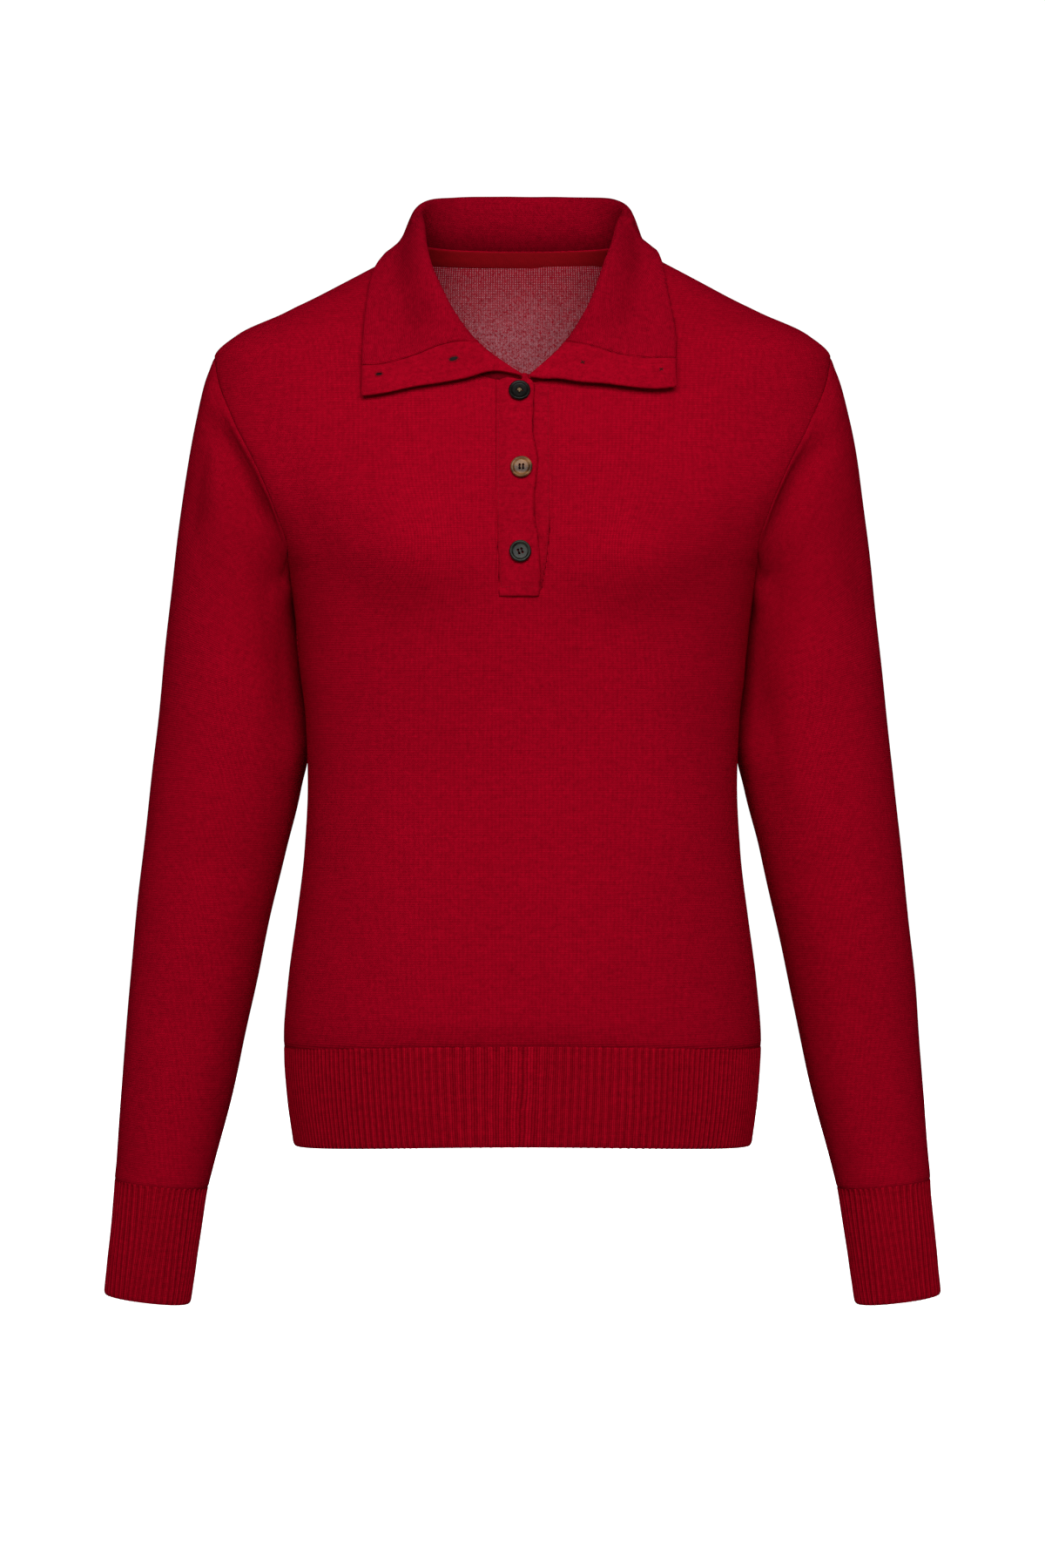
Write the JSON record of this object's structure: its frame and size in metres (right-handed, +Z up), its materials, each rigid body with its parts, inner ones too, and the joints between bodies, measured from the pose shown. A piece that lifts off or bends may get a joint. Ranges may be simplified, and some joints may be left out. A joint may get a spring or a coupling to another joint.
{
  "type": "knitted polo collar sweater",
  "caption": "Fine-knit long-sleeved sweater with an open polo collar, buttoned half placket and ribbed hem and cuffs, filled out as worn and hollow inside.",
  "frame": {"origin": "midway between the two neck ends of the shoulder seams, 15 mm below them, where the wearer's shoulders and neck carry the garment", "axes": "+Z up along the hanging garment, -Y out of the chest, +X towards the wearer's left"},
  "size_m": [0.548, 0.2227, 0.7336],
  "materials": {
    "knit": "fine red plain knit, matt with a soft bloom",
    "rib": "red ribbed knit, matt",
    "band": "dense red band knit, matt",
    "tape": "dark red woven neck tape, matt",
    "button_dark": "dark polished horn-like resin",
    "button_horn": "brown mottled polished horn-like resin"
  },
  "bodies": {
    "root": {"front": "knit", "back": "knit", "sleeve_right": "knit", "sleeve_left": "knit", "collar": "knit", "hem_rib_front": "rib", "hem_rib_back": "rib", "cuff_right": "rib", "cuff_left": "rib", "collar_band_right": "band", "collar_band_left": "band", "placket_over": "band", "placket_under": "band", "neck_tape": "tape", "button_top": "button_dark", "button_middle": "button_horn", "button_bottom": "button_dark", "button_collar_inner": "button_dark", "button_collar_outer": "button_dark"}
  },
  "joints": []
}
